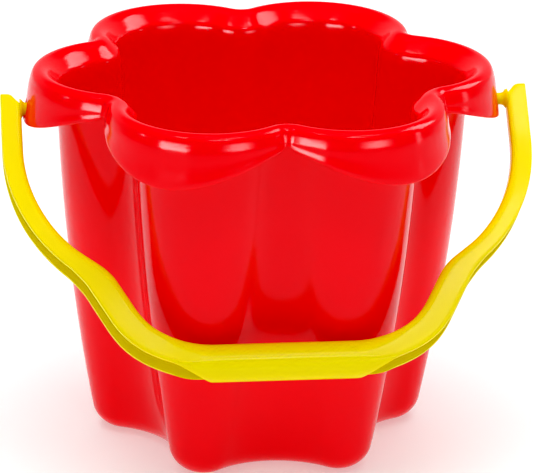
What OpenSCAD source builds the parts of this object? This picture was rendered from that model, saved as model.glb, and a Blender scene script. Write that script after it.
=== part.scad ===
// Sand bucket with a six-petal plan and a swing handle.
// One tub moulding and one handle moulding, joined by two snap pins.

/* [Tub] */
// Distance from the tub axis to each petal centre
petal_offset = 53.5; // [51:0.5:55]
// Petal radius at the edge of the mouth
petal_r = 29; // [28:0.5:31]
// Radius of the notch between petals, at the edge of the mouth
notch_r = 14; // [14:0.5:16]
// Height of the mouth edge above the ground
mouth_h = 148.5; // [140:0.5:160]
// How far the petals draw in from mouth to base
taper = 16.5; // [12:0.5:17]
// Share of the taper that is gathered near the base
belly = 0.77; // [0.4:0.01:0.85]
// Radius of the corner between wall and base
base_corner_r = 9; // [5:0.5:9]
// Plastic thickness of the wall and the rim
wall = 1.8; // [1.6:0.1:2.2]
// Thickness of the base
floor_t = 2.2; // [2:0.1:3]

/* [Rim] */
// Reach of the rim beyond the mouth edge, at the lip of the skirt
rim_w = 12.5; // [11.5:0.5:13]
// Outward flare of the skirt over its drop
flare = 2.3; // [1.5:0.1:2.6]
// Height of the crest above the mouth edge
crest_h = 4.4; // [3.8:0.1:5]
// Drop of the skirt below the mouth edge, at the middle of a petal
skirt_petal = 17; // [16:0.5:18]
// Drop of the skirt below the mouth edge, at a notch
skirt_notch = 3.2; // [3:0.1:6]

/* [Hinge] */
// Height of the hinge axis
pivot_z = 136.4; // [136:0.1:137.5]
// Radius of the handle pins
pin_r = 2.4; // [2.2:0.1:2.6]
// Radial clearance of the pins in their holes
pin_gap = 0.06; // [0.04:0.01:0.1]
// Distance of the spot face on the skirt from the tub axis
spot_x = 93.4; // [93.2:0.1:93.7]
// Radius of the spot face
spot_r = 4.1; // [4:0.1:4.2]
// Sideways float taken up by the handle as it hangs
float_x = 1; // [0:0.1:1]

/* [Handle] */
// Tilt of the hanging handle from straight down
handle_tilt = 44; // [44:0.5:50]
// Half width of the handle, at the middle of the arm section
half_w = 100.8; // [100.8:0.1:102]
// Straight length of each arm below the hinge axis
arm_straight = 19; // [18:0.5:20]
// Radius of the upper bend of each arm
bend_r = 63.5; // [62:0.5:65]
// Heading of the arm after the upper bend
bend_a = 48.5; // [47:0.5:50]
// Heading of the arm after the shoulder
shoulder_a = 29; // [28:0.5:30]
// Radius of the bend into the grip
grip_bend_r = 39; // [38:0.5:40]
// Radius of the grip
grip_r = 7.3; // [6.8:0.1:7.5]
// Thickness of the arm at the hinge
arm_t_top = 6.6; // [6:0.1:8]
// Thickness of the arm at the shoulder
arm_t_mid = 11; // [10:0.5:11.5]
// Thickness of the arm below the shoulder
arm_t_low = 13.6; // [13:0.1:13.8]
// Thickness of the lips and web of the arm channel
lip_t = 1.5; // [1.2:0.1:1.8]

/* [Hidden] */
petals = 6;
step = 360 / petals;
n_petal = 14;
n_notch = 6;
$fn = 64;

// ---- plan outline of the tub: petals joined by tangent notches
notch_c = petal_offset * cos(step / 2)
        + sqrt(pow(petal_r + notch_r, 2) - pow(petal_offset * sin(step / 2), 2));
petal_a = atan2(notch_c * sin(step / 2), notch_c * cos(step / 2) - petal_offset);

function rot2(v, a) = [v[0] * cos(a) - v[1] * sin(a), v[0] * sin(a) + v[1] * cos(a)];

// every station is [point at the mouth edge, outward normal]
function petal_station(a) =
    [[petal_offset + petal_r * cos(a), petal_r * sin(a)], [cos(a), sin(a)]];
function notch_station(a) =
    [[notch_c * cos(step / 2) - notch_r * cos(a), notch_c * sin(step / 2) - notch_r * sin(a)],
     [cos(a), sin(a)]];
stations = [
    for (k = [0 : petals - 1])
        for (i = [0 : n_petal + n_notch - 1])
            let (s = i < n_petal
                    ? petal_station(-petal_a + 2 * petal_a * i / n_petal)
                    : notch_station(petal_a + (step - 2 * petal_a) * (i - n_petal) / n_notch))
            [rot2(s[0], step * k), rot2(s[1], step * k)]
];
n_st = len(stations);

// 1 at the middle of a petal, 0 at a notch
function share(s) = 0.5 + 0.5 * cos(petals * atan2(s[0][1], s[0][0]));
function skirt_drop(s) = skirt_notch + (skirt_petal - skirt_notch) * share(s);

// ---- upright section of the tub, as offsets from the mouth edge
function draw_in(z) = 0.6 + taper * (1 - z / mouth_h) * (1 - belly * z / mouth_h);
function corner_in(z) =
    z < base_corner_r ? base_corner_r - sqrt(pow(base_corner_r, 2) - pow(base_corner_r - z, 2)) : 0;
function outer_u(z) = -draw_in(z) - corner_in(z);
inner_corner_r = base_corner_r - wall;
function inner_u(z) =
    let (h = z - floor_t)
    -draw_in(z) - wall
    - (h < inner_corner_r ? inner_corner_r - sqrt(pow(inner_corner_r, 2) - pow(inner_corner_r - h, 2)) : 0);

// skirt offset grows with its drop below the mouth edge
knee = 1.6;
function flare_u(drop) = rim_w - flare * (skirt_petal - drop) / (skirt_petal - knee);

function round_lip(d) = min(0.4, (d - knee) / 4);

base_rings = [for (a = [0, 22.5, 45, 67.5, 90]) base_corner_r * (1 - cos(a))];
wall_rings = [for (i = [1 : 7]) base_corner_r + (mouth_h - 7 - base_corner_r) * i / 7];
floor_rings = [for (a = [90, 67.5, 45, 22.5, 0]) floor_t + inner_corner_r * (1 - cos(a))];

// each ring is a function of the station: [offset, height]
function ring(k, s) =
    let (h = mouth_h, d = skirt_drop(s), w = wall, c = crest_h)
    k < 5 ? [outer_u(base_rings[k]), base_rings[k]] :
    k < 12 ? [outer_u(wall_rings[k - 5]), wall_rings[k - 5]] :
    k == 12 ? [0.2, h - 2.6] :
    k == 13 ? [1.3, h - 1.1] :
    k == 14 ? [3.4, h + c - 3] :
    k == 15 ? [5.8, h + c - 1.9] :
    k == 16 ? [7.3, h + c - 2.7] :
    k == 17 ? [flare_u(knee) - w - 0.4, h + c - 4.4] :
    k == 18 ? [flare_u(knee) - w, h - knee] :
    k == 19 ? [flare_u((d + knee) / 2) - w, h - (d + knee) / 2] :
    k == 20 ? [flare_u(d) - w, h - d + round_lip(d)] :
    k == 21 ? [flare_u(d) - w / 2, h - d] :
    k == 22 ? [flare_u(d), h - d + round_lip(d)] :
    k == 23 ? [flare_u((d + knee) / 2), h - (d + knee) / 2] :
    k == 24 ? [flare_u(knee), h - knee] :
    k == 25 ? [flare_u(knee) - 0.5, h + 0.3] :
    k == 26 ? [8.4, h + c - 1.35] :
    k == 27 ? [7.2, h + c - 0.35] :
    k == 28 ? [5.9, h + c] :
    k == 29 ? [4.4, h + c - 0.25] :
    k == 30 ? [2.2, h + c - 1.5] :
    k == 31 ? [0.2, h + 0.3] :
    k == 32 ? [-1.1, h - 1] :
    k == 33 ? [inner_u(h - 4), h - 4] :
    k < 40 ? [inner_u(wall_rings[40 - k]), wall_rings[40 - k]] :
    [inner_u(floor_rings[k - 40]), floor_rings[k - 40]];
n_ring = 45;

function strip(a, b, n) = [
    for (i = [0 : n - 1]) let (j = (i + 1) % n)
        each [[a + i, b + i, b + j], [a + i, b + j, a + j]]
];

module tub_shell() {
    points = [
        [0, 0, 0],
        for (k = [0 : n_ring - 1]) for (s = stations)
            let (r = ring(k, s)) [s[0][0] + s[1][0] * r[0], s[0][1] + s[1][1] * r[0], r[1]],
        [0, 0, floor_t]
    ];
    last = len(points) - 1;
    faces = [
        for (i = [0 : n_st - 1]) [0, 1 + i, 1 + (i + 1) % n_st],
        for (k = [0 : n_ring - 2]) each strip(1 + k * n_st, 1 + (k + 1) * n_st, n_st),
        for (i = [0 : n_st - 1]) [last, last - n_st + (i + 1) % n_st, last - n_st + i]
    ];
    polyhedron(points, faces, convexity = 10);
}

// ---- hinge
hole_r = pin_r + pin_gap;
boss_in = spot_x - 3;

module along_x(x, side) {
    translate([side * x, 0, pivot_z]) rotate([0, side * 90, 0]) children();
}

module bucket() {
    color([0.86, 0.02, 0.04])
    difference() {
        union() {
            tub_shell();
            for (side = [-1, 1])
                along_x(boss_in, side) cylinder(h = 3.8, r = spot_r - 0.2);
        }
        for (side = [-1, 1]) {
            along_x(spot_x, side) cylinder(h = 3, r = spot_r);
            along_x(boss_in - 1, side) cylinder(h = 6, r = hole_r);
        }
    }
}

// ---- handle: the centre line of an arm is a chain of bends
top_end = 5.2;
shoulder_run = 9.4;
shoulder_len = 8;
shoulder_out = 12;
l1 = top_end + arm_straight;
l2 = l1 + bend_r * bend_a * PI / 180;
l3 = l2 + shoulder_run;
l4 = l3 + shoulder_len;
l5 = l4 + shoulder_out;
l6 = l5 + grip_bend_r * (90 - shoulder_a) * PI / 180;

function heading(l) =
    l < l1 ? 0 :
    l < l2 ? bend_a * (l - l1) / (l2 - l1) :
    l < l3 ? bend_a :
    l < l4 ? bend_a + (shoulder_a - bend_a) * (l - l3) / (l4 - l3) :
    l < l5 ? shoulder_a :
    l < l6 ? shoulder_a + (90 - shoulder_a) * (l - l5) / (l6 - l5) :
    90;

n_arm = 84;
dl = l6 / n_arm;
// [distance in from the straight arm, distance below the hinge axis] at every step
path = [
    for (i = 0, p = [0, -top_end]; i <= n_arm;
         p = p + dl * [sin(heading((i + 0.5) * dl)), cos(heading((i + 0.5) * dl))], i = i + 1) p
];
grip_s = path[n_arm][1];
grip_x = half_w - path[n_arm][0];

function ease(t) = let (x = max(0, min(1, t))) x * x * (3 - 2 * x);
function blend(l, a, b, from, to) = from + (to - from) * ease((l - a) / (b - a));

function web_side(l) =
    blend(l, l3 - 14, l4, 4, 5) + blend(l, l5 + 10, l6 - 2, 0, grip_r - 5)
    - (l < top_end - 1.4 ? 3.6 * pow(1 - l / (top_end - 1.4), 0.8) : 0);
function lip_side(l) =
    blend(l, l3 - 10, l4, 4.1, 6.2) - blend(l, l5 + 6, l6 - 10, 0, 1.8) + blend(l, l6 - 9, l6, 0, grip_r - 5.1);
function arm_t(l) =
    blend(l, 18, 58, arm_t_top, arm_t_mid) + blend(l, 56, 106, 0, arm_t_low - arm_t_mid)
    + blend(l, l6 - 22, l6 - 2, 0, 2 * grip_r - arm_t_low - 0.4);
function arm_r(l) = blend(l, 18, 58, 2, 3) + blend(l, l6 - 26, l6 - 2, 0, 3.6);
// the channel starts below the hinge, the end of the arm is solid
function web_t(l) = blend(l, top_end + 3.4, top_end + 5.4, web_side(l) + lip_side(l) - 0.5, lip_t);
// the channel closes into the round of the grip over the last run
function closing(l) = blend(l, l6 - 9, l6, 0, 1);

n_arc = 4;
function arm_section(l) =
    let (a = web_side(l), b = lip_side(l), t = arm_t(l) / 2, r = arm_r(l), e = closing(l),
         f = web_t(l), q = t - lip_t, ri = min(max(r - lip_t, 0.5), q - 0.2, (a + b - f) * 0.9),
         tl = t + (0.42 * grip_r - t) * e, tm = t + (0.87 * grip_r - t) * e,
         am = (b + r - a) / 2 * (1 - e) + grip_r / 2 * e,
         fm = (b + f + ri - a) / 2 * (1 - e) + (grip_r / 2 - 0.6) * e)
    concat(
        [[b, tl], [am, tm]],
        [for (i = [0 : n_arc]) [-a + r + r * cos(90 + 90 * i / n_arc), t - r + r * sin(90 + 90 * i / n_arc)]],
        [for (i = [0 : n_arc]) [-a + r + r * cos(180 + 90 * i / n_arc), -t + r + r * sin(180 + 90 * i / n_arc)]],
        [[am, -tm], [b, -tl], [b, -tl + lip_t], [fm, -tm + lip_t]],
        [for (i = [0 : n_arc]) [-a + f + ri + ri * cos(270 - 90 * i / n_arc), -q + ri + ri * sin(270 - 90 * i / n_arc)]],
        [for (i = [0 : n_arc]) [-a + f + ri + ri * cos(180 - 90 * i / n_arc), q - ri + ri * sin(180 - 90 * i / n_arc)]],
        [[fm, tm - lip_t], [b, tl - lip_t]]
    );
n_sec = 8 + 4 * (n_arc + 1);

arm_stops = [0, 1, 2, 3, 4, 6, 7, each [8 : 2 : n_arm]];

module arm() {
    // section plane: first axis away from the grip side, second through the thickness
    m = len(arm_stops);
    points = [
        for (i = arm_stops) let (l = i * dl, h = heading(l), p = path[i])
            for (q = arm_section(l))
                [half_w - p[0] + q[0] * cos(h), -q[1], -p[1] - q[0] * sin(h)]
    ];
    last = (m - 1) * n_sec;
    faces = [
        for (i = [0 : n_sec / 2 - 2]) let (j = n_sec - 1 - i)
            each [[i, i + 1, j], [i + 1, j - 1, j], [last + i + 1, last + i, last + j], [last + j - 1, last + i + 1, last + j]],
        for (k = [0 : m - 2]) each strip(k * n_sec, (k + 1) * n_sec, n_sec)
    ];
    polyhedron(points, faces, convexity = 8);
}

neck_x = half_w - 4;
head_x = boss_in - float_x - 0.9;

module pin() {
    // neck, shank and snap head, all turned about the hinge axis
    rotate([0, 90, 0]) {
        translate([0, 0, head_x - 1.2]) cylinder(h = 0.8, r1 = pin_r - 0.3, r2 = pin_r + 0.55);
        translate([0, 0, head_x - 0.4]) cylinder(h = 0.8, r = pin_r + 0.55);
        translate([0, 0, head_x]) cylinder(h = neck_x - head_x + 3, r = pin_r);
        translate([0, 0, neck_x - 1.1]) cylinder(h = 1.4, r1 = pin_r, r2 = 3.3);
    }
}

module handle() {
    color([0.95, 0.85, 0.02])
    translate([float_x, 0, pivot_z])
    rotate([-handle_tilt, 0, 0])
    union() {
        for (side = [0, 1]) mirror([side, 0, 0]) {
            arm();
            pin();
        }
        translate([-grip_x - 1, 0, -grip_s]) rotate([0, 90, 0]) cylinder(h = 2 * grip_x + 2, r = grip_r);
    }
}

bucket();
handle();
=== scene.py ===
"""The sand bucket's looks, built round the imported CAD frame. Lengths are in metres, except in the shape rules, which are in millimetres."""

import math

import bmesh
import bpy
import numpy as np
from mathutils import Matrix, Vector


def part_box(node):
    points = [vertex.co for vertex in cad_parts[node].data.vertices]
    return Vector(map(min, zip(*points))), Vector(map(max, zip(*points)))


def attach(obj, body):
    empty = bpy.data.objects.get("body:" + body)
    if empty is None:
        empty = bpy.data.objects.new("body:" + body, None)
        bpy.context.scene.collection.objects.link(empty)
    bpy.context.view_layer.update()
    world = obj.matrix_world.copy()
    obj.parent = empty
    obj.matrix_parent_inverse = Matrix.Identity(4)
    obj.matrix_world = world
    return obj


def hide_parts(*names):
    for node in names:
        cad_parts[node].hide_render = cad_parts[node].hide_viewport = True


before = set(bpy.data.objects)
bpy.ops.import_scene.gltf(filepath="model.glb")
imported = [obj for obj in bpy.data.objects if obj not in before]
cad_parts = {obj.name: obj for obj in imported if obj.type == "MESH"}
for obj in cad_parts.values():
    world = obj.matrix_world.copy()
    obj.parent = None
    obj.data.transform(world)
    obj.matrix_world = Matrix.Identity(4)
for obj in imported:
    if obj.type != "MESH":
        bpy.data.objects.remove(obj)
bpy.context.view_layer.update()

PI = math.pi
# ---- the tub, in millimetres, from the same rules as the CAD part
PETALS, STEP = 6, 60.0
OFFSET, PETAL_R, NOTCH_R = 53.5, 29.0, 14.0
MOUTH_H, TAPER, BELLY, CORNER_R = 148.5, 16.5, 0.77, 9.0
WALL, FLOOR_T = 1.8, 2.2
RIM_W, FLARE, CREST_H, SKIRT_P, SKIRT_N, KNEE = 12.5, 2.3, 4.4, 17.0, 3.2, 1.6
PIVOT_Z, PIN_R, PIN_GAP, SPOT_X, SPOT_R, FLOAT_X = 136.4, 2.4, 0.06, 93.4, 4.1, 1.0
BOSS_IN = SPOT_X - 3


def cosd(a):
    return math.cos(math.radians(a))


def sind(a):
    return math.sin(math.radians(a))


NOTCH_C = OFFSET * cosd(30) + math.sqrt((PETAL_R + NOTCH_R) ** 2 - (OFFSET * sind(30)) ** 2)
PETAL_A = math.degrees(math.atan2(NOTCH_C * sind(30), NOTCH_C * cosd(30) - OFFSET))


def stations(n_petal, n_notch):
    """Points and outward normals of the mouth outline, starting at the edge of the petal on +X."""
    pts, nrm = [], []
    for k in range(PETALS):
        for i in range(n_petal + n_notch):
            if i < n_petal:
                a = -PETAL_A + 2 * PETAL_A * i / n_petal
                p = (OFFSET + PETAL_R * cosd(a), PETAL_R * sind(a))
            else:
                a = PETAL_A + (STEP - 2 * PETAL_A) * (i - n_petal) / n_notch
                p = (NOTCH_C * cosd(30) - NOTCH_R * cosd(a), NOTCH_C * sind(30) - NOTCH_R * sind(a))
            n = (cosd(a), sind(a))
            c, s = cosd(STEP * k), sind(STEP * k)
            pts.append((p[0] * c - p[1] * s, p[0] * s + p[1] * c))
            nrm.append((n[0] * c - n[1] * s, n[0] * s + n[1] * c))
    return np.array(pts), np.array(nrm)


def draw_in(z):
    return 0.6 + TAPER * (1 - z / MOUTH_H) * (1 - BELLY * z / MOUTH_H)


def outer_u(z):
    c = np.where(z < CORNER_R, CORNER_R - np.sqrt(np.maximum(CORNER_R**2 - (CORNER_R - z) ** 2, 0)), 0)
    return -draw_in(z) - c


IN_R = CORNER_R - WALL


def inner_u(z):
    h = z - FLOOR_T
    c = np.where(h < IN_R, IN_R - np.sqrt(np.maximum(IN_R**2 - (IN_R - h) ** 2, 0)), 0)
    return -draw_in(z) - WALL - c


def flare_u(drop):
    return RIM_W - FLARE * (SKIRT_P - drop) / (SKIRT_P - KNEE)


def spline(ctrl, n):
    """Catmull-Rom through control rings: ctrl is (rings, stations, 2), n steps to each interval."""
    c = np.concatenate([2 * ctrl[:1] - ctrl[1:2], ctrl, 2 * ctrl[-1:] - ctrl[-2:-1]])
    out = []
    for i in range(1, len(c) - 2):
        p0, p1, p2, p3 = c[i - 1], c[i], c[i + 1], c[i + 2]
        d0 = np.maximum(np.linalg.norm(p1 - p0, axis=-1, keepdims=True), 1e-6) ** 0.5
        d1 = np.maximum(np.linalg.norm(p2 - p1, axis=-1, keepdims=True), 1e-6) ** 0.5
        d2 = np.maximum(np.linalg.norm(p3 - p2, axis=-1, keepdims=True), 1e-6) ** 0.5
        m1 = (p2 - p1) + d1 * ((p1 - p0) / d0 - (p2 - p0) / (d0 + d1))
        m2 = (p2 - p1) + d1 * ((p3 - p2) / d2 - (p3 - p1) / (d1 + d2))
        for k in range(n):
            t = k / n
            out.append(
                (2 * t**3 - 3 * t**2 + 1) * p1 + (t**3 - 2 * t**2 + t) * m1
                + (-2 * t**3 + 3 * t**2) * p2 + (t**3 - t**2) * m2
            )
    out.append(c[-2])
    return np.array(out)


def tub_rings(pts):
    """Rings of [offset, height] at every station, from the middle of the underside round to the middle of the floor."""
    share = 0.5 + 0.5 * np.cos(PETALS * np.arctan2(pts[:, 1], pts[:, 0]))
    d = SKIRT_N + (SKIRT_P - SKIRT_N) * share
    one = np.ones(len(pts))
    h, c, w = MOUTH_H, CREST_H, WALL

    def row(u, z):
        return np.stack([u * one, z * one], axis=-1)

    base_z = [CORNER_R * (1 - cosd(a)) for a in np.linspace(0, 90, 11)]
    wall_z = list(np.linspace(CORNER_R, h - 7, 34))[1:]
    outer = [row(outer_u(np.array(z)), z) for z in base_z + wall_z]
    # underside of the rim, a fillet against the wall, the inside of the skirt, the lip, the outside of the skirt, the crest
    k0 = flare_u(KNEE)
    lip = np.minimum(0.75, (d - KNEE) / 4)
    mid = (d - 1.6 * lip + KNEE) / 2
    under = np.array([
        row(outer_u(np.array(h - 4.6)), h - 4.6), row(0.15, h - 2.6), row(1.3, h - 0.9), row(3.4, h + c - 3.0),
        row(5.8, h + c - 1.9), row(7.3, h + c - 2.7), row(k0 - w - 0.4, h + c - 4.4), row(k0 - w, h - KNEE),
        row(flare_u(mid) - w, h - mid), row(flare_u(d) - w, h - d + lip * 1.6),
    ])
    lip_in = np.array([
        row(flare_u(d) - w, h - d + lip * 1.6), row(flare_u(d) - w + 0.08, h - d + lip * 0.55),
        row(flare_u(d) - w * 0.72, h - d + lip * 0.08), row(flare_u(d) - w * 0.5, h - d),
        row(flare_u(d) - w * 0.28, h - d + lip * 0.08), row(flare_u(d) - 0.08, h - d + lip * 0.55),
        row(flare_u(d), h - d + lip * 1.6),
    ])
    over = np.array([
        row(flare_u(d), h - d + lip * 1.6), row(flare_u(mid), h - mid), row(k0, h - KNEE), row(k0 - 0.5, h + 0.3),
        row(k0 - 1.1, h + c - 2.3), row(8.4, h + c - 1.15), row(7.2, h + c - 0.3), row(5.9, h + c), row(4.4, h + c - 0.3),
        row(2.5, h + c - 1.35), row(0.9, h + 1.45), row(-0.35, h + 0.1), row(-1.25, h - 0.95), row(-1.85, h - 2.0),
        row(-2.2, h - 3.3), row(inner_u(np.array(h - 5.5)), h - 5.5),
    ])
    inner_z = list(np.linspace(h - 5.5, FLOOR_T + IN_R, 36))[1:]
    floor_z = [FLOOR_T + IN_R * (1 - cosd(a)) for a in np.linspace(90, 0, 10)][1:]
    inner = [row(inner_u(np.array(z)), z) for z in inner_z + floor_z]
    return np.concatenate([
        np.array(outer), spline(under, 4)[:-1], spline(lip_in, 3)[:-1], spline(over, 4), np.array(inner),
    ])


def tub_mesh(n_petal, n_notch):
    pts, nrm = stations(n_petal, n_notch)
    r = tub_rings(pts)
    nr, ns = r.shape[:2]
    xyz = np.concatenate([
        pts[None] + nrm[None] * r[..., :1], r[..., 1:]], axis=-1)
    # rings that close the underside and the floor towards the middle
    def cap(ring, shares, z):
        return [np.concatenate([ring[:, :2] * s, np.full((ns, 1), z)], axis=1) for s in shares]
    shares = [0.9, 0.7, 0.45, 0.2]
    rings = cap(xyz[0], shares[::-1], 0.0) + list(xyz) + cap(xyz[-1], shares, FLOOR_T)
    verts = np.concatenate([[[0, 0, 0]], np.concatenate(rings), [[0, 0, FLOOR_T]]])
    faces = []
    n = len(rings)
    for i in range(ns):
        j = (i + 1) % ns
        faces.append((0, 1 + j, 1 + i))
        last = 1 + (n - 1) * ns
        faces.append((len(verts) - 1, last + i, last + j))
    for k in range(n - 1):
        a, b = 1 + k * ns, 1 + (k + 1) * ns
        for i in range(ns):
            j = (i + 1) % ns
            faces.append((a + i, a + j, b + j, b + i))
    return verts, faces


# ---- the handle: the centre line of an arm is a chain of bends
HALF_W, TILT = 100.8, 44.0
TOP_END, STRAIGHT, BEND_R, BEND_A, SHOULDER_RUN, SHOULDER_LEN, SHOULDER_A, SHOULDER_OUT = 5.2, 19.0, 63.5, 48.5, 9.4, 8.0, 29.0, 12.0
GRIP_BEND_R, GRIP_R, T_TOP, T_MID, T_LOW, LIP_T = 39.0, 7.3, 6.6, 11.0, 13.6, 1.5
L1 = TOP_END + STRAIGHT
L2 = L1 + BEND_R * BEND_A * PI / 180
L3 = L2 + SHOULDER_RUN
L4 = L3 + SHOULDER_LEN
L5 = L4 + SHOULDER_OUT
L6 = L5 + GRIP_BEND_R * (90 - SHOULDER_A) * PI / 180


def heading(l):
    return np.interp(l, [0, L1, L2, L3, L4, L5, L6], [0, 0, BEND_A, BEND_A, SHOULDER_A, SHOULDER_A, 90])


FINE = np.linspace(0, L6, 4001)
MIDH = np.radians(heading((FINE[1:] + FINE[:-1]) / 2))
PATH_X = np.concatenate([[0], np.cumsum(np.sin(MIDH) * np.diff(FINE))])
PATH_Z = np.concatenate([[0], np.cumsum(np.cos(MIDH) * np.diff(FINE))]) - TOP_END
GRIP_X, GRIP_S = HALF_W - PATH_X[-1], PATH_Z[-1]
L_MID = L6 + GRIP_X


def at_path(l):
    """Distance in from the straight arm, distance below the hinge axis, and heading in radians."""
    over = np.maximum(l - L6, 0)
    c = np.minimum(l, L6)
    return np.interp(c, FINE, PATH_X) + over, np.interp(c, FINE, PATH_Z), np.radians(heading(c))


def ease(t):
    x = np.clip(t, 0, 1)
    return x * x * (3 - 2 * x)


def blend(l, a, b, u, v):
    return u + (v - u) * ease((l - a) / (b - a))


# where the channel ends: at the far end of the grip, on a slant, and below the hinge
CLOSE_LOW, CLOSE_RUN, OPEN_L = 27.0, 14.0, TOP_END + 4.4


def shape(l):
    """Half thickness, web side, lip side, the radius of the web corners and the radius of the lip corners at l."""
    t = (blend(l, 18, 58, T_TOP, T_MID) + blend(l, 56, 106, 0, T_LOW - T_MID) + blend(l, L6 - 22, L6 - 2, 0, 2 * GRIP_R - T_LOW)) / 2
    a = (blend(l, L3 - 14, L4, 4, 5) + blend(l, L5 + 10, L6 - 2, 0, GRIP_R - 5)
         - np.where(l < TOP_END - 1.4, 3.6 * np.maximum(1 - l / (TOP_END - 1.4), 0) ** 0.8, 0))
    b = blend(l, L3 - 10, L4, 4.1, 6.2) - blend(l, L5 + 6, L6 - 10, 0, 1.8)
    end = L_MID - CLOSE_LOW
    e = ease((l - (end - 17)) / 17)
    b = b + e * (GRIP_R - 4.4)
    rw = blend(l, 18, 58, 2, 3) + blend(l, L6 - 26, L6 - 2, 0, GRIP_R - 3)
    rl = 0.4 + e * (GRIP_R - 0.4)
    rl = np.minimum(rl, t)
    return t, a, b, np.minimum(rw, t), rl


NC, NW, NS, NF, NL, NI, NB = 9, 8, 4, 3, 3, 6, 8
EDGE = 0.3


def front(q, t, b, rl):
    """First coordinate of the outline's lip side at thickness coordinate q."""
    over = np.maximum(np.abs(q) - (t - rl), 0)
    return b - rl + np.sqrt(np.maximum(rl**2 - over**2, 0))


def section_points(l, flush, inset=0.0):
    """l is one value for each of the outline's points. Returns the points as [away from the grip side, through the thickness]."""
    t, a, b, rw, rl = shape(l)
    t, a, b = t - inset, a - inset, b - inset
    rl, rw = np.minimum(rl, t), np.minimum(rw, t)
    tip = LIP_T - EDGE
    out = np.zeros((len(l), 2))
    k = 0

    def put(q0, q1, n):
        nonlocal k
        out[k:k + n, 0], out[k:k + n, 1] = q0, q1
        k += n

    def part(n):
        return slice(k, k + n)

    def lip(sign, shares):
        g = part(len(shares))
        T, B, R = t[g], b[g], rl[g]
        straight = np.maximum(tip - R, 0)
        phi0 = np.arcsin(np.clip((R - tip) / R, 0, 1))
        arc = R * (PI / 2 - phi0)
        s = shares * (straight + arc)
        phi = np.where(s < straight, 0, phi0 + (s - straight) / R)
        q1 = np.where(s < straight, T - tip + s, T - R + R * np.sin(phi))
        q0 = np.where(s < straight, B, B - R + R * np.cos(phi))
        put(q0, sign * q1, len(shares))

    lip(1, np.linspace(0, 1, NC + 1))
    f = np.arange(1, NS + 1) / (NS + 1)
    g = part(NS)
    put((b[g] - rl[g]) * (1 - f) + (-a[g] + rw[g]) * f, t[g], NS)
    w = np.radians(np.linspace(90, 180, NW + 1))
    g = part(NW + 1)
    put(-a[g] + rw[g] + rw[g] * np.cos(w), t[g] - rw[g] + rw[g] * np.sin(w), NW + 1)
    g = part(NS)
    put(-a[g], (t[g] - rw[g]) * (1 - 2 * f), NS)
    w = np.radians(np.linspace(180, 270, NW + 1))
    g = part(NW + 1)
    put(-a[g] + rw[g] + rw[g] * np.cos(w), -t[g] + rw[g] + rw[g] * np.sin(w), NW + 1)
    g = part(NS)
    put((b[g] - rl[g]) * f + (-a[g] + rw[g]) * (1 - f), -t[g], NS)
    lip(-1, np.linspace(1, 0, NC + 1))
    # inner run, from the lower lip's tip to the upper one's
    g = slice(k, len(l))
    T, A, B, RL = t[g], a[g], b[g], rl[g]
    v = INNER_V
    if flush:
        lim = np.arcsin((T - tip) / T)
        q1 = T * np.sin((2 * v - 1) * lim)
        put(front(q1, T, B, RL), q1, len(v))
    else:
        q = T - LIP_T
        face = front(T - tip, T, B, RL)
        ri = np.clip(rw[g] - LIP_T, 0.8, q - 0.3)
        wx = -A + LIP_T
        rows = []
        for j in range(len(v)):
            m = j if v[j] <= 0.5 else len(v) - 1 - j
            sign = -1 if v[j] <= 0.5 else 1
            if m < NF:
                x = math.radians(90 * (m + 1) / NF)
                rows.append((face[j] - EDGE + EDGE * math.cos(x), sign * (q[j] + EDGE - EDGE * math.sin(x))))
            elif m < NF + NL:
                x = (m - NF + 1) / (NL + 1)
                rows.append(((face[j] - EDGE) * (1 - x) + (wx[j] + ri[j]) * x, sign * q[j]))
            elif m < NF + NL + NI + 1:
                x = math.radians(90 * (m - NF - NL) / NI)
                rows.append((wx[j] + ri[j] - ri[j] * math.sin(x), sign * (q[j] - ri[j] + ri[j] * math.cos(x))))
            else:
                x = (m - NF - NL - NI) / (NB / 2 + 0.5)
                rows.append((wx[j], sign * (q[j] - ri[j]) * (1 - x)))
        out[g] = rows
    return out


HALF_IN = NF + NL + NI + 1
_lo = np.concatenate([np.linspace(0.005, 0.03, NF), np.linspace(0.04, 0.07, NL), np.linspace(0.08, 0.2, NI + 1)])
INNER_V = np.concatenate([_lo, 0.2 + 0.6 * np.arange(1, NB + 1) / (NB + 1), 1 - _lo[::-1]])
N_OUT = 2 * (NC + 1) + 3 * NS + 2 * (NW + 1)
_web = np.arange(1, NS + 1) / (NS + 1)
U = np.concatenate([
    np.zeros(NC + 1 + NS + NW + 1), _web, np.ones(NW + 1 + NS + NC + 1), 1 - INNER_V])
N_SEC = len(U)


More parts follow.
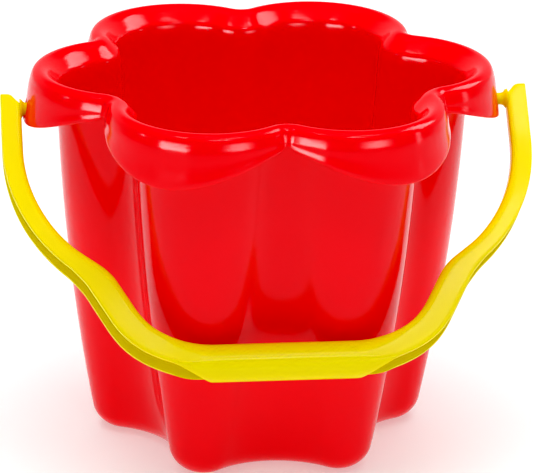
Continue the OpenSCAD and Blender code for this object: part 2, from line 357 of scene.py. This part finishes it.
def handle_mesh():
    """The whole handle without its pins, tilted and in place, as one closed mesh."""
    rows = []                                   # [l of every point, flush, inset]
    def shear(s):
        w = s / CLOSE_LOW if s < CLOSE_LOW else 1 - ease((s - CLOSE_LOW) / 60)
        return L_MID - (s + CLOSE_RUN * (1 - U) ** 2 * w)
    for s in np.linspace(0, CLOSE_LOW - 0.3, 14):
        rows.append((shear(s), True, 0))
    end = L_MID - OPEN_L
    for s in np.linspace(CLOSE_LOW, end, 112):
        rows.append((shear(s), False, 0))
    for l in np.linspace(OPEN_L - 0.3, 0.6, 9):
        rows.append((np.full(N_SEC, l), True, 0))
    for l, i in ((0.3, 0.06), (0.12, 0.18), (0.0, 0.4)):
        rows.append((np.full(N_SEC, l), True, i))
    half = []
    for l, flush, inset in rows:
        q = section_points(l, flush, inset)
        px, pz, h = at_path(l)
        half.append(np.stack([HALF_W - px + q[:, 0] * np.cos(h), -q[:, 1], -pz - q[:, 0] * np.sin(h)], axis=1))
    m = len(half)
    half = np.array(half)
    half[0, :, 0] = 0
    # the other half is its mirror image; the section at the middle is shared
    both = [h * [-1, 1, 1] for h in half[:0:-1]] + list(half)
    v = np.concatenate(both)
    n_rows = len(both)
    faces = []
    for k in range(n_rows - 1):
        a, b = k * N_SEC, (k + 1) * N_SEC
        for i in range(N_SEC):
            j = (i + 1) % N_SEC
            faces.append((a + i, b + i, b + j, a + j))
    c0 = both[0].mean(0)
    c1 = both[-1].mean(0)
    v = np.concatenate([v, [c0, c1]])
    last = (n_rows - 1) * N_SEC
    for i in range(N_SEC):
        j = (i + 1) % N_SEC
        faces.append((len(v) - 2, i, j))
        faces.append((len(v) - 1, last + j, last + i))
    return place_handle(v), faces


def place_handle(v):
    c, s = cosd(TILT), sind(TILT)
    return np.stack([v[:, 0] + FLOAT_X, v[:, 1] * c + v[:, 2] * s, -v[:, 1] * s + v[:, 2] * c + PIVOT_Z], axis=1)


def lathe(profile, n=56):
    """A closed turned shape about the hinge axis from [distance along X, radius] pairs, for the +X side, before placing."""
    v, faces = [(profile[0][0], 0, 0)], []
    for x, r in profile:
        for i in range(n):
            a = 2 * PI * i / n
            v.append((x, r * math.cos(a), r * math.sin(a)))
    v.append((profile[-1][0], 0, 0))
    m = len(profile)
    for i in range(n):
        j = (i + 1) % n
        faces.append((0, 1 + j, 1 + i))
        faces.append((len(v) - 1, 1 + (m - 1) * n + i, 1 + (m - 1) * n + j))
        for k in range(m - 1):
            a, b = 1 + k * n, 1 + (k + 1) * n
            faces.append((a + i, a + j, b + j, b + i))
    return np.array(v), faces


HEAD_X, NECK_X = BOSS_IN - FLOAT_X - 0.9, HALF_W - 4
PIN_PROFILE = [
    (HEAD_X - 1.2, PIN_R - 0.5), (HEAD_X - 1.1, PIN_R - 0.3), (HEAD_X - 0.5, PIN_R + 0.45), (HEAD_X - 0.3, PIN_R + 0.55),
    (HEAD_X + 0.3, PIN_R + 0.55), (HEAD_X + 0.4, PIN_R + 0.45), (HEAD_X + 0.4, PIN_R), (NECK_X - 2.2, PIN_R),
    (NECK_X - 1.6, PIN_R + 0.08), (NECK_X - 1.1, PIN_R + 0.28), (NECK_X - 0.6, PIN_R + 0.68), (NECK_X - 0.2, PIN_R + 1.3),
    (NECK_X + 0.6, PIN_R + 1.6),
]

# ---- mesh helpers
def fit_box(v, lo, hi):
    """Brings a mesh just inside a box that it passes by a hair, by a tiny scale about the box's middle."""
    mid = (lo + hi) / 2
    own = np.abs(v - mid).max(0)
    return mid + (v - mid) * np.minimum(1.0, (hi - mid - 1e-6) / own)


def new_object(name, v, faces, hidden=False):
    me = bpy.data.meshes.new(name)
    me.from_pydata([tuple(p) for p in v], [], faces)
    me.validate()
    me.update()
    ob = bpy.data.objects.new(name, me)
    bpy.context.scene.collection.objects.link(ob)
    return ob


def boolean(ob, tools):
    """Applies (operation, helper object) pairs to ob and removes the helpers."""
    for op, tool in tools:
        m = ob.modifiers.new(op, "BOOLEAN")
        m.operation, m.solver, m.object = op, "EXACT", tool
    bpy.context.view_layer.update()
    dg = bpy.context.evaluated_depsgraph_get()
    me = bpy.data.meshes.new_from_object(ob.evaluated_get(dg))
    ob.modifiers.clear()
    old = ob.data
    ob.data = me
    me.name = ob.name
    bpy.data.meshes.remove(old)
    for _, tool in tools:
        data = tool.data
        bpy.data.objects.remove(tool)
        bpy.data.meshes.remove(data)


def finish_mesh(ob, angle):
    me = ob.data
    bm = bmesh.new()
    bm.from_mesh(me)
    bmesh.ops.remove_doubles(bm, verts=bm.verts, dist=1e-6)
    bmesh.ops.dissolve_degenerate(bm, edges=bm.edges, dist=1e-6)
    bmesh.ops.recalc_face_normals(bm, faces=bm.faces)
    bm.to_mesh(me)
    bm.free()
    me.shade_smooth()
    me.set_sharp_from_angle(angle=math.radians(angle))
    me.update()


def x_turned(name, profile, side, n=64):
    """A turned helper about the hinge axis, in place on one side."""
    v, f = lathe(profile, n)
    v = v + [0, 0, PIVOT_Z]
    if side < 0:
        v = v * [-1, 1, 1]
        f = [tuple(reversed(q)) for q in f]
    return new_object(name, v / 1000, f)


# ---- the tub
tub_lo, tub_hi = (np.array(c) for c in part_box("bucket"))
v, f = tub_mesh(42, 18)
tub = new_object("tub_moulding", fit_box(v / 1000, tub_lo, tub_hi), f)
tools = []
for side in (-1, 1):
    tools.append(("UNION", x_turned("boss", [(BOSS_IN, SPOT_R - 0.2), (BOSS_IN + 3.8, SPOT_R - 0.2)], side)))
for side in (-1, 1):
    tools.append(("DIFFERENCE", x_turned("spot", [(SPOT_X, SPOT_R), (SPOT_X + 3, SPOT_R)], side)))
    tools.append(("DIFFERENCE", x_turned("hole", [(BOSS_IN - 1, PIN_R + PIN_GAP), (SPOT_X + 3, PIN_R + PIN_GAP)], side)))
boolean(tub, tools)
finish_mesh(tub, 38)
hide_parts("bucket")
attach(tub, "bucket")

# ---- the handle
han_lo, han_hi = (np.array(c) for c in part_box("handle"))
v, f = handle_mesh()
handle = new_object("handle_moulding", fit_box(v / 1000, han_lo, han_hi), f)
tools = []
for side in (-1, 1):
    pv, pf = lathe(PIN_PROFILE)
    if side < 0:
        pv = pv * [-1, 1, 1]
        pf = [tuple(reversed(q)) for q in pf]
    tools.append(("UNION", new_object("pin", place_handle(pv) / 1000, pf)))
boolean(handle, tools)
finish_mesh(handle, 38)
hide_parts("handle")
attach(handle, "handle")


# ---- materials
def plastic(name, base, deep, rough, rough_var, grain, specular, coat=0.0, coat_rough=0.05):
    """Moulded polypropylene: a fine grain, faint cloudiness in the colour and slightly uneven gloss."""
    mat = bpy.data.materials.new(name)
    mat.use_nodes = True
    nt = mat.node_tree
    bsdf = nt.nodes["Principled BSDF"]
    coord = nt.nodes.new("ShaderNodeTexCoord")

    def noise(scale, detail, rough_):
        n = nt.nodes.new("ShaderNodeTexNoise")
        n.inputs["Scale"].default_value = scale
        n.inputs["Detail"].default_value = detail
        n.inputs["Roughness"].default_value = rough_
        nt.links.new(coord.outputs["Object"], n.inputs["Vector"])
        return n

    cloud = noise(38, 3, 0.5)
    mix = nt.nodes.new("ShaderNodeMix")
    mix.data_type = "RGBA"
    mix.inputs["A"].default_value = (*deep, 1)
    mix.inputs["B"].default_value = (*base, 1)
    nt.links.new(cloud.outputs["Fac"], mix.inputs["Factor"])
    nt.links.new(mix.outputs["Result"], bsdf.inputs["Base Color"])
    gloss = noise(120, 4, 0.6)
    rng = nt.nodes.new("ShaderNodeMapRange")
    rng.inputs["From Min"].default_value, rng.inputs["From Max"].default_value = 0.3, 0.7
    rng.inputs["To Min"].default_value, rng.inputs["To Max"].default_value = rough - rough_var, rough + rough_var
    nt.links.new(gloss.outputs["Fac"], rng.inputs["Value"])
    nt.links.new(rng.outputs["Result"], bsdf.inputs["Roughness"])
    fine = noise(1700, 2, 0.6)
    wavy = noise(46, 2, 0.5)
    b1 = nt.nodes.new("ShaderNodeBump")
    b1.inputs["Strength"].default_value = grain
    b1.inputs["Distance"].default_value = 0.0001
    nt.links.new(fine.outputs["Fac"], b1.inputs["Height"])
    b2 = nt.nodes.new("ShaderNodeBump")
    b2.inputs["Strength"].default_value = 0.12
    b2.inputs["Distance"].default_value = 0.0004
    nt.links.new(wavy.outputs["Fac"], b2.inputs["Height"])
    nt.links.new(b2.outputs["Normal"], b1.inputs["Normal"])
    nt.links.new(b1.outputs["Normal"], bsdf.inputs["Normal"])
    bsdf.inputs["IOR"].default_value = 1.49
    bsdf.inputs["Specular IOR Level"].default_value = specular
    bsdf.inputs["Coat Weight"].default_value = coat
    bsdf.inputs["Coat Roughness"].default_value = coat_rough
    return mat


red = plastic("red_polypropylene", (0.95, 0.0, 0.010), (0.90, 0.0, 0.008), 0.115, 0.025, 0.16, 0.22)
yellow = plastic("yellow_polypropylene", (0.86, 0.74, 0.0), (0.81, 0.68, 0.0), 0.18, 0.03, 0.14, 0.13)
tub.data.materials.clear()
tub.data.materials.append(red)
handle.data.materials.clear()
handle.data.materials.append(yellow)

# ---- floor
bm = bmesh.new()
bmesh.ops.create_grid(bm, x_segments=8, y_segments=8, size=6)
me = bpy.data.meshes.new("floor")
bm.to_mesh(me)
bm.free()
floor = bpy.data.objects.new("floor", me)
bpy.context.scene.collection.objects.link(floor)
fmat = bpy.data.materials.new("pale_floor")
fmat.use_nodes = True
fb = fmat.node_tree.nodes["Principled BSDF"]
fb.inputs["Base Color"].default_value = (0.72, 0.72, 0.72, 1)
fb.inputs["Emission Color"].default_value = (1, 1, 1, 1)
fb.inputs["Emission Strength"].default_value = 0.36
fb.inputs["Roughness"].default_value = 0.9
fb.inputs["Specular IOR Level"].default_value = 0.1
me.materials.append(fmat)

# ---- camera
AZ = math.radians(7.41)
turn = Matrix.Rotation(-AZ, 3, "Z")


def camera():
    e, roll, dist = math.radians(21.084), math.radians(1.2), 1.43968
    target = Vector((CAM_TX, 0, CAM_TZ))
    pos = target + dist * Vector((0, -math.cos(e), math.sin(e)))
    r0, u0 = Vector((1, 0, 0)), Vector((0, math.sin(e), math.cos(e)))
    right = r0 * math.cos(roll) + u0 * math.sin(roll)
    up = u0 * math.cos(roll) - r0 * math.sin(roll)
    back = (pos - target).normalized()
    m = Matrix((right, up, back)).transposed()
    cam = bpy.data.objects.new("camera", bpy.data.cameras.new("camera"))
    cam.data.sensor_width, cam.data.lens = 36, 36 * 3577.18 / 533
    cam.data.clip_start, cam.data.clip_end = 0.05, 50
    cam.matrix_world = (turn @ m).to_4x4()
    cam.location = turn @ pos
    bpy.context.scene.collection.objects.link(cam)
    bpy.context.scene.camera = cam


CAM_TX, CAM_TZ = 0.003059 - 0.0004, 0.079934
camera()


# ---- light: azimuth 0 is towards the camera and positive to its right, in degrees
def softbox(name, az, el, dist, w, h, radiance, centre=(0, 0, 0.13), soft=0.0, shape="RECTANGLE", tint=(1, 1, 1), **seen):
    a, e = math.radians(az), math.radians(el)
    d = turn @ Vector((math.sin(a) * math.cos(e), -math.cos(a) * math.cos(e), math.sin(e)))
    light = bpy.data.lights.new(name, "AREA")
    light.shape = shape
    light.size, light.size_y = 2 * dist * math.tan(math.radians(w / 2)), 2 * dist * math.tan(math.radians(h / 2))
    area = light.size * light.size_y * (PI / 4 if shape == "ELLIPSE" else 1)
    light.energy = radiance * area * PI
    light.color = tint
    if soft:
        light.use_nodes = True
        nt = light.node_tree
        em = nt.nodes["Emission"]
        geo_ = nt.nodes.new("ShaderNodeNewGeometry")
        sep = nt.nodes.new("ShaderNodeSeparateXYZ")
        nt.links.new(geo_.outputs["Parametric"], sep.inputs[0])
        prod = None
        for ax in ("X", "Y"):
            # distance from the middle of the light, 0 at the middle and 1 at its edge
            sub = nt.nodes.new("ShaderNodeMath")
            sub.operation = "MULTIPLY_ADD"
            sub.inputs[1].default_value, sub.inputs[2].default_value = 2, -1
            nt.links.new(sep.outputs[ax], sub.inputs[0])
            ab = nt.nodes.new("ShaderNodeMath")
            ab.operation = "ABSOLUTE"
            nt.links.new(sub.outputs[0], ab.inputs[0])
            mr = nt.nodes.new("ShaderNodeMapRange")
            mr.interpolation_type = "SMOOTHSTEP"
            mr.inputs["From Min"].default_value, mr.inputs["From Max"].default_value = 1 - soft, 1
            mr.inputs["To Min"].default_value, mr.inputs["To Max"].default_value = 1, 0
            nt.links.new(ab.outputs[0], mr.inputs["Value"])
            if prod is None:
                prod = mr.outputs["Result"]
            else:
                mul = nt.nodes.new("ShaderNodeMath")
                mul.operation = "MULTIPLY"
                nt.links.new(prod, mul.inputs[0])
                nt.links.new(mr.outputs["Result"], mul.inputs[1])
                prod = mul.outputs[0]
        nt.links.new(prod, em.inputs["Strength"])
    ob = bpy.data.objects.new(name, light)
    bpy.context.scene.collection.objects.link(ob)
    ob.location = turn @ Vector(centre) + d * dist
    ob.rotation_mode = "QUATERNION"
    ob.rotation_quaternion = (-d).to_track_quat("-Z", "Y")
    ob.visible_camera = False
    for k, val in seen.items():
        setattr(ob, "visible_" + k, val)
    return ob


glow = {"diffuse": False}                        # seen in reflections, adds nothing to the even light
softbox("softbox_left", -36, 7.5, 1.3, 33, 11, 21.0, soft=0.22, **glow)
softbox("umbrella_right", 33, 10, 1.3, 40, 15, 13.0, soft=0.9, **glow)
softbox("strip_right", 84, 5, 1.3, 8, 22, 5.0, soft=0.5, **glow)
softbox("softbox_back_right", 109, 37, 1.3, 34, 36, 9.0, soft=0.35, **glow)
softbox("overhead_front", 18, 48.5, 1.4, 22, 4.5, 24.0, centre=(0, -0.09, 0.045), soft=0.4, **glow)
softbox("lamp_left", -74.5, 13.5, 1.3, 2.2, 2.2, 120.0, **glow)
softbox("overhead_right", 36, 63, 1.5, 26, 5, 16.0, soft=0.4, **glow)
softbox("overhead_left", -47, 60, 1.5, 14, 5, 16.0, soft=0.4, **glow)
softbox("top_fill", 0, 88, 1.8, 60, 60, 3.0, glossy=False)

# ---- surroundings: an even soft light, with a bright backdrop behind the object and a dim studio in front in reflections
world = bpy.data.worlds.new("studio")
bpy.context.scene.world = world
world.use_nodes = True
nt = world.node_tree
nt.nodes.clear()
out = nt.nodes.new("ShaderNodeOutputWorld")
bg = nt.nodes.new("ShaderNodeBackground")
bg2 = nt.nodes.new("ShaderNodeBackground")
mixw = nt.nodes.new("ShaderNodeMixShader")
lp = nt.nodes.new("ShaderNodeLightPath")
tc = nt.nodes.new("ShaderNodeTexCoord")
rot = nt.nodes.new("ShaderNodeVectorRotate")
rot.rotation_type = "Z_AXIS"
rot.inputs["Angle"].default_value = AZ
sp = nt.nodes.new("ShaderNodeSeparateXYZ")
nt.links.new(tc.outputs["Generated"], rot.inputs["Vector"])
nt.links.new(rot.outputs["Vector"], sp.inputs[0])
mr = nt.nodes.new("ShaderNodeMapRange")
mr.interpolation_type = "SMOOTHSTEP"
mr.inputs["From Min"].default_value, mr.inputs["From Max"].default_value = -0.05, 0.75
mr.inputs["To Min"].default_value, mr.inputs["To Max"].default_value = 0.06, 0.70
nt.links.new(sp.outputs["Y"], mr.inputs["Value"])
high = nt.nodes.new("ShaderNodeMapRange")
high.interpolation_type = "SMOOTHSTEP"
high.inputs["From Min"].default_value, high.inputs["From Max"].default_value = 0.40, 0.60
high.inputs["To Min"].default_value, high.inputs["To Max"].default_value = 1, 0.05
nt.links.new(sp.outputs["Z"], high.inputs["Value"])
both = nt.nodes.new("ShaderNodeMath")
both.operation = "MULTIPLY"
nt.links.new(mr.outputs["Result"], both.inputs[0])
nt.links.new(high.outputs["Result"], both.inputs[1])
nt.links.new(both.outputs[0], bg2.inputs["Strength"])
bg.inputs["Strength"].default_value = 0.61
nt.links.new(lp.outputs["Is Glossy Ray"], mixw.inputs["Fac"])
nt.links.new(bg.outputs[0], mixw.inputs[1])
nt.links.new(bg2.outputs[0], mixw.inputs[2])
nt.links.new(mixw.outputs[0], out.inputs["Surface"])

scene = bpy.context.scene
scene.view_settings.view_transform = "Standard"
scene.view_settings.look = "None"
scene.view_settings.exposure = 0.0
scene.view_settings.gamma = 1.0
# a film-like toe: the deepest tones go a little deeper, which keeps the plastic's colour clean
scene.view_settings.use_curve_mapping = True
curves = scene.view_settings.curve_mapping
toe = curves.curves[3]
for x, y in ((0.010, 0.0006), (0.045, 0.022), (0.16, 0.145)):
    toe.points.new(x, y)
curves.update()
